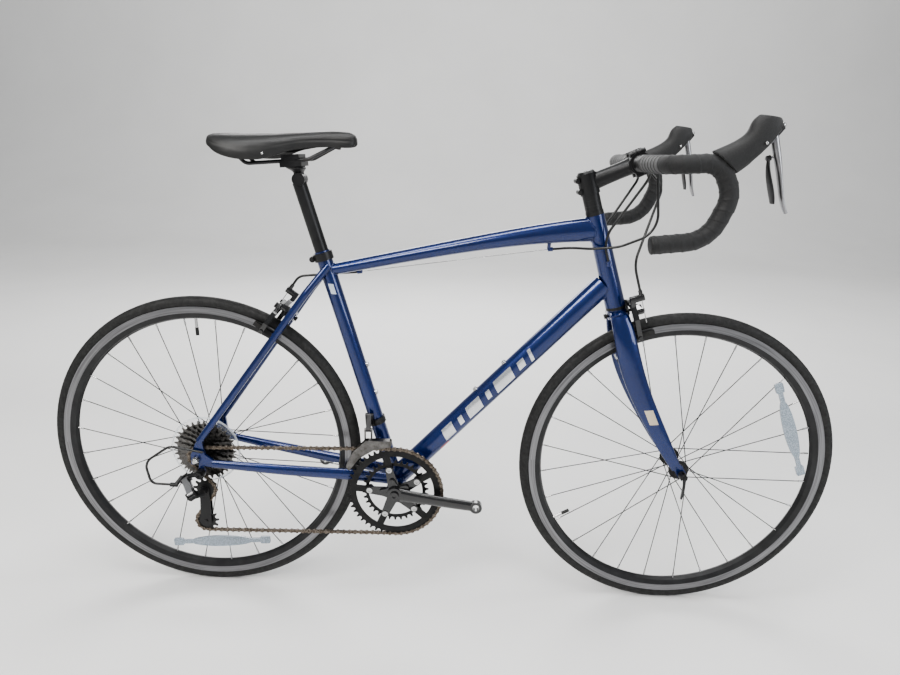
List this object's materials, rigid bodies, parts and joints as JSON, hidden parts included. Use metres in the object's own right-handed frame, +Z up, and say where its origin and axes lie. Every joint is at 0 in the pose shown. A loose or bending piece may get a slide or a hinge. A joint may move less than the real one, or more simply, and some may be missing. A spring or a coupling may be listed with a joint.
{
  "type": "road bicycle",
  "caption": "Drop-bar road bicycle for one rider, with rim brakes, derailleur gears, spoked wheels and bare crank arms ready for pedals.",
  "frame": {"origin": "on the ground midway between the two wheel axles, in the frame's middle plane", "axes": "+X forward along the wheelbase, +Y to the rider's left, +Z up"},
  "size_m": [1.691, 0.464, 1.0429],
  "materials": {
    "frame_paint": "glossy metallic blue",
    "black_metal": "satin black",
    "rim_black": "satin black with bare brake tracks",
    "tyre_rubber": "matt",
    "spoke_steel": "black oxide with bright nipples",
    "clear_plastic": "clear with prisms",
    "saddle_cover": "smooth synthetic cover",
    "black_plastic": "moulded",
    "tape": "cushioned tape",
    "hood_rubber": "fine texture",
    "silver_metal": "satin silver",
    "chain_steel": "oiled",
    "cable_housing": "smooth"
  },
  "bodies": {
    "frame": {"head_tube": "frame_paint", "top_tube": "frame_paint", "down_tube": "frame_paint", "seat_tube": "frame_paint", "bb_shell": "black_metal", "chain_stays": "frame_paint", "seat_stays": "frame_paint", "frame_fittings": "black_metal", "rear_axle": "black_metal", "rear_brake_mount": "black_metal", "fd_body": "silver_metal", "rd_b_knuckle": "black_metal", "rear_cables": "cable_housing", "shift_cables": "cable_housing", "rear_brake_cable": "cable_housing", "chain": "chain_steel"},
    "steering": {"fork": "frame_paint", "headset_spacers": "black_metal", "stem": "black_metal", "handlebar": "black_metal", "bar_tape": "tape", "lever_hoods": "hood_rubber", "front_axle": "black_metal", "front_brake_mount": "black_metal", "front_brake_cable": "cable_housing"},
    "front_wheel": {"front_rim": "rim_black", "front_tyre": "tyre_rubber", "front_spokes": "spoke_steel", "front_hub": "black_metal", "front_reflector": "clear_plastic"},
    "rear_wheel": {"rear_rim": "rim_black", "rear_tyre": "tyre_rubber", "rear_spokes": "spoke_steel", "rear_hub": "black_metal", "rear_clear_plastics": "clear_plastic"},
    "crankset": {"crank_right": "black_metal", "crank_left": "black_metal", "chainrings": "silver_metal"},
    "cassette": {"cassette": "silver_metal"},
    "rd_outer_link": {"rd_outer_link": "silver_metal"},
    "rd_inner_link": {"rd_inner_link": "silver_metal"},
    "rd_p_knuckle": {"rd_p_knuckle": "black_metal"},
    "rd_cage": {"rd_cage": "silver_metal"},
    "guide_pulley": {"rd_guide_pulley": "black_plastic"},
    "tension_pulley": {"rd_tension_pulley": "black_plastic"},
    "fd_link": {"fd_link": "silver_metal"},
    "fd_cage": {"fd_cage": "silver_metal"},
    "brake_lever_right": {"brake_lever_right": "silver_metal"},
    "brake_lever_left": {"brake_lever_left": "silver_metal"},
    "shift_paddle_right": {"shift_paddle_right": "black_plastic"},
    "shift_paddle_left": {"shift_paddle_left": "black_plastic"},
    "front_y_arm": {"front_brake_y_arm": "black_metal"},
    "front_c_arm": {"front_brake_c_arm": "black_metal"},
    "rear_y_arm": {"rear_brake_y_arm": "black_metal"},
    "rear_c_arm": {"rear_brake_c_arm": "black_metal"},
    "front_qr_lever": {"front_qr_lever": "silver_metal"},
    "rear_qr_lever": {"rear_qr_lever": "silver_metal"},
    "saddle_post": {"seatpost": "black_metal", "saddle_base": "black_plastic", "saddle_pad": "saddle_cover"}
  },
  "joints": [
    {"name": "steering_turn", "type": "hinge", "parent": "frame", "child": "steering", "pos_m": [0.4622, 0, 0.32109], "axis": [-0.3007, 0, 0.9537], "range_deg": [-65, 65], "deforming": ["rear_brake_cable", "shift_cables"]},
    {"name": "front_wheel_spin", "type": "hinge", "parent": "steering", "child": "front_wheel", "pos_m": [0.5095, 0, 0.336], "axis": [0, 1, 0], "continuous": true},
    {"name": "rear_wheel_spin", "type": "hinge", "parent": "frame", "child": "rear_wheel", "pos_m": [-0.5095, 0, 0.336], "axis": [0, 1, 0], "continuous": true},
    {"name": "crank_spin", "type": "hinge", "parent": "frame", "child": "crankset", "pos_m": [-0.09348, 0, 0.264], "axis": [0, 1, 0], "continuous": true, "deforming": ["chain"]},
    {"name": "cassette_spin", "type": "hinge", "parent": "frame", "child": "cassette", "pos_m": [-0.5095, 0, 0.336], "axis": [0, 1, 0], "continuous": true, "deforming": ["chain"]},
    {"name": "rd_shift", "type": "hinge", "parent": "frame", "child": "rd_outer_link", "pos_m": [-0.53948, -0.07, 0.288], "axis": [0.8, 0.36, 0.48], "range_deg": [0, 55], "deforming": ["chain", "rear_cables"]},
    {"name": "rd_inner_link_turn", "type": "hinge", "parent": "frame", "child": "rd_inner_link", "pos_m": [-0.53948, -0.058, 0.279], "axis": [0.8, 0.36, 0.48], "range_deg": [0, 55], "deforming": ["chain"]},
    {"name": "rd_p_knuckle_turn", "type": "hinge", "parent": "rd_outer_link", "child": "rd_p_knuckle", "pos_m": [-0.5158, -0.10044, 0.27136], "axis": [0.8, 0.36, 0.48], "range_deg": [-55, 0], "deforming": ["chain"]},
    {"name": "rd_cage_turn", "type": "hinge", "parent": "rd_p_knuckle", "child": "rd_cage", "pos_m": [-0.50148, -0.058, 0.261], "axis": [0, 1, 0], "range_deg": [-50, 0], "stiffness_Nm_per_rad": 0.4, "springref_deg": 28.65, "deforming": ["chain"]},
    {"name": "guide_pulley_spin", "type": "hinge", "parent": "rd_cage", "child": "guide_pulley", "pos_m": [-0.50148, -0.058, 0.261], "axis": [0, 1, 0], "continuous": true, "deforming": ["chain"]},
    {"name": "tension_pulley_spin", "type": "hinge", "parent": "rd_cage", "child": "tension_pulley", "pos_m": [-0.50296, -0.058, 0.18501], "axis": [0, 1, 0], "continuous": true, "deforming": ["chain"]},
    {"name": "fd_shift", "type": "hinge", "parent": "frame", "child": "fd_link", "pos_m": [-0.15149, -0.026, 0.432], "axis": [1, 0, 0], "range_deg": [0, 17], "deforming": ["chain"]},
    {"name": "fd_cage_turn", "type": "hinge", "parent": "fd_link", "child": "fd_cage", "pos_m": [-0.15149, -0.04, 0.404], "axis": [1, 0, 0], "range_deg": [-17, 0], "deforming": ["chain"]},
    {"name": "right_brake_pull", "type": "hinge", "parent": "steering", "child": "brake_lever_right", "pos_m": [0.50452, -0.212, 1.002], "axis": [0, 1, 0], "range_deg": [0, 25], "stiffness_Nm_per_rad": 0.6, "springref_deg": -28.65},
    {"name": "left_brake_pull", "type": "hinge", "parent": "steering", "child": "brake_lever_left", "pos_m": [0.50452, 0.212, 1.002], "axis": [0, 1, 0], "range_deg": [0, 25], "stiffness_Nm_per_rad": 0.6, "springref_deg": -28.65},
    {"name": "right_paddle_push", "type": "hinge", "parent": "brake_lever_right", "child": "shift_paddle_right", "pos_m": [0.53151, -0.212, 0.982], "axis": [-0.9555, 0, -0.2951], "range_deg": [-12, 0], "stiffness_Nm_per_rad": 0.1, "springref_deg": 17.19},
    {"name": "left_paddle_push", "type": "hinge", "parent": "brake_lever_left", "child": "shift_paddle_left", "pos_m": [0.53151, 0.212, 0.982], "axis": [-0.9555, 0, -0.2951], "range_deg": [0, 12], "stiffness_Nm_per_rad": 0.1, "springref_deg": -17.19},
    {"name": "front_y_arm_close", "type": "hinge", "parent": "steering", "child": "front_y_arm", "pos_m": [0.38254, 0, 0.67449], "axis": [0.9537, 0, 0.3007], "range_deg": [-1.4, 0], "deforming": ["front_brake_cable"]},
    {"name": "front_c_arm_close", "type": "hinge", "parent": "steering", "child": "front_c_arm", "pos_m": [0.37893, 0.018, 0.68593], "axis": [0.9537, 0, 0.3007], "range_deg": [0, 1.14], "deforming": ["front_brake_cable"]},
    {"name": "rear_y_arm_close", "type": "hinge", "parent": "frame", "child": "rear_y_arm", "pos_m": [-0.3324, 0, 0.6486], "axis": [-0.8139, 0, 0.581], "range_deg": [-1.4, 0], "deforming": ["rear_cables"]},
    {"name": "rear_c_arm_close", "type": "hinge", "parent": "frame", "child": "rear_c_arm", "pos_m": [-0.32543, -0.018, 0.65837], "axis": [-0.8139, 0, 0.581], "range_deg": [0, 1.14], "deforming": ["rear_cables"]},
    {"name": "front_qr_turn", "type": "hinge", "parent": "steering", "child": "front_qr_lever", "pos_m": [0.5095, -0.0666, 0.336], "axis": [1, 0, 0], "range_deg": [-160, 0]},
    {"name": "rear_qr_turn", "type": "hinge", "parent": "frame", "child": "rear_qr_lever", "pos_m": [-0.5095, 0.0816, 0.336], "axis": [1, 0, 0], "range_deg": [0, 160]},
    {"name": "seatpost_height", "type": "slide", "parent": "frame", "child": "saddle_post", "axis": [-0.2924, 0, 0.9563], "range_m": [-0.09, 0.04]}
  ],
  "couplings": [
    {"joint": "cassette_spin", "follows": "crank_spin", "ratio": 4.5455},
    {"joint": "guide_pulley_spin", "follows": "crank_spin", "ratio": -4.5455},
    {"joint": "tension_pulley_spin", "follows": "crank_spin", "ratio": 4.5455},
    {"joint": "rd_inner_link_turn", "follows": "rd_shift", "ratio": 1},
    {"joint": "rd_p_knuckle_turn", "follows": "rd_shift", "ratio": -1},
    {"joint": "fd_cage_turn", "follows": "fd_shift", "ratio": -1},
    {"joint": "front_y_arm_close", "follows": "left_brake_pull", "ratio": -0.056},
    {"joint": "front_c_arm_close", "follows": "left_brake_pull", "ratio": 0.0455},
    {"joint": "rear_y_arm_close", "follows": "right_brake_pull", "ratio": -0.056},
    {"joint": "rear_c_arm_close", "follows": "right_brake_pull", "ratio": 0.0455}
  ]
}
